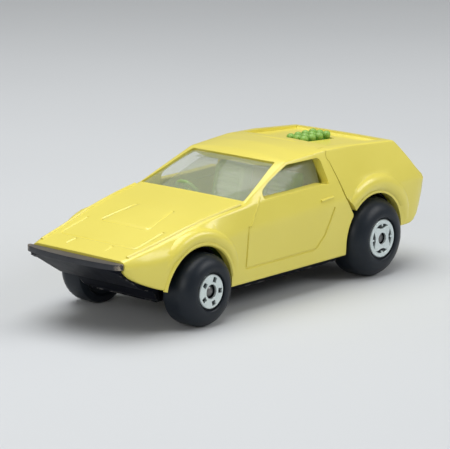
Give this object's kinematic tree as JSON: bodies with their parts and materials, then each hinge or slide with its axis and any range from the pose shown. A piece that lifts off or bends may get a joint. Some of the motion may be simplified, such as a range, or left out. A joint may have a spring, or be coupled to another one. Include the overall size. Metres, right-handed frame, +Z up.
{
  "type": "toy car",
  "caption": "Small die-cast toy wedge coupe with a hinged rear cowl, sprung axles, free-rolling wheels, a clear window moulding and intake stacks standing through the deck.",
  "frame": {"origin": "on the ground, under the middle of the car's overall length and width", "axes": "-Y towards the nose, +X towards the car's left side, +Z up"},
  "size_m": [0.029, 0.0744, 0.0239],
  "materials": {
    "body_paint": "gloss enamel over a zinc casting",
    "base_black": "semi-gloss black enamel over a zinc casting",
    "glazing": "clear polystyrene with a faint smoky tint",
    "interior_green": "injection-moulded plastic",
    "wheel_black": "injection-moulded plastic, satin",
    "hub_foil": "hot-stamped bright foil",
    "axle_steel": "bare drawn wire and strip"
  },
  "bodies": {
    "chassis": {"body_shell": "body_paint", "base_plate": "base_black", "window_glazing": "glazing", "interior": "interior_green", "engine": "interior_green", "cowl_hinge_pin": "axle_steel", "front_suspension_strip": "axle_steel", "rear_suspension_strip": "axle_steel"},
    "cowl": {"rear_cowl": "body_paint"},
    "front_axle_set": {"front_axle": "axle_steel"},
    "rear_axle_set": {"rear_axle": "axle_steel"},
    "front_left": {"front_left_wheel": "wheel_black", "front_left_hub_foil": "hub_foil"},
    "front_right": {"front_right_wheel": "wheel_black", "front_right_hub_foil": "hub_foil"},
    "rear_left": {"rear_left_wheel": "wheel_black", "rear_left_hub_foil": "hub_foil"},
    "rear_right": {"rear_right_wheel": "wheel_black", "rear_right_hub_foil": "hub_foil"}
  },
  "joints": [
    {"name": "cowl_hinge", "type": "hinge", "parent": "chassis", "child": "cowl", "pos_m": [0, 0.01315, 0.0223], "axis": [1, 0, 0], "range_deg": [0, 45]},
    {"name": "front_axle_slide", "type": "slide", "parent": "chassis", "child": "front_axle_set", "axis": [0, 0, 1], "range_m": [0, 0.0005], "stiffness_N_per_m": 1000, "springref_m": -0.001, "deforming": ["front_suspension_strip"]},
    {"name": "rear_axle_slide", "type": "slide", "parent": "chassis", "child": "rear_axle_set", "axis": [0, 0, 1], "range_m": [0, 0.0005], "stiffness_N_per_m": 1000, "springref_m": -0.001, "deforming": ["rear_suspension_strip"]},
    {"name": "front_left_spin", "type": "hinge", "parent": "front_axle_set", "child": "front_left", "pos_m": [0.0117, -0.0196, 0.0059], "axis": [1, 0, 0], "continuous": true},
    {"name": "front_right_spin", "type": "hinge", "parent": "front_axle_set", "child": "front_right", "pos_m": [-0.0117, -0.0196, 0.0059], "axis": [1, 0, 0], "continuous": true},
    {"name": "rear_left_spin", "type": "hinge", "parent": "rear_axle_set", "child": "rear_left", "pos_m": [0.0113, 0.0234, 0.0068], "axis": [1, 0, 0], "continuous": true},
    {"name": "rear_right_spin", "type": "hinge", "parent": "rear_axle_set", "child": "rear_right", "pos_m": [-0.0113, 0.0234, 0.0068], "axis": [1, 0, 0], "continuous": true}
  ]
}
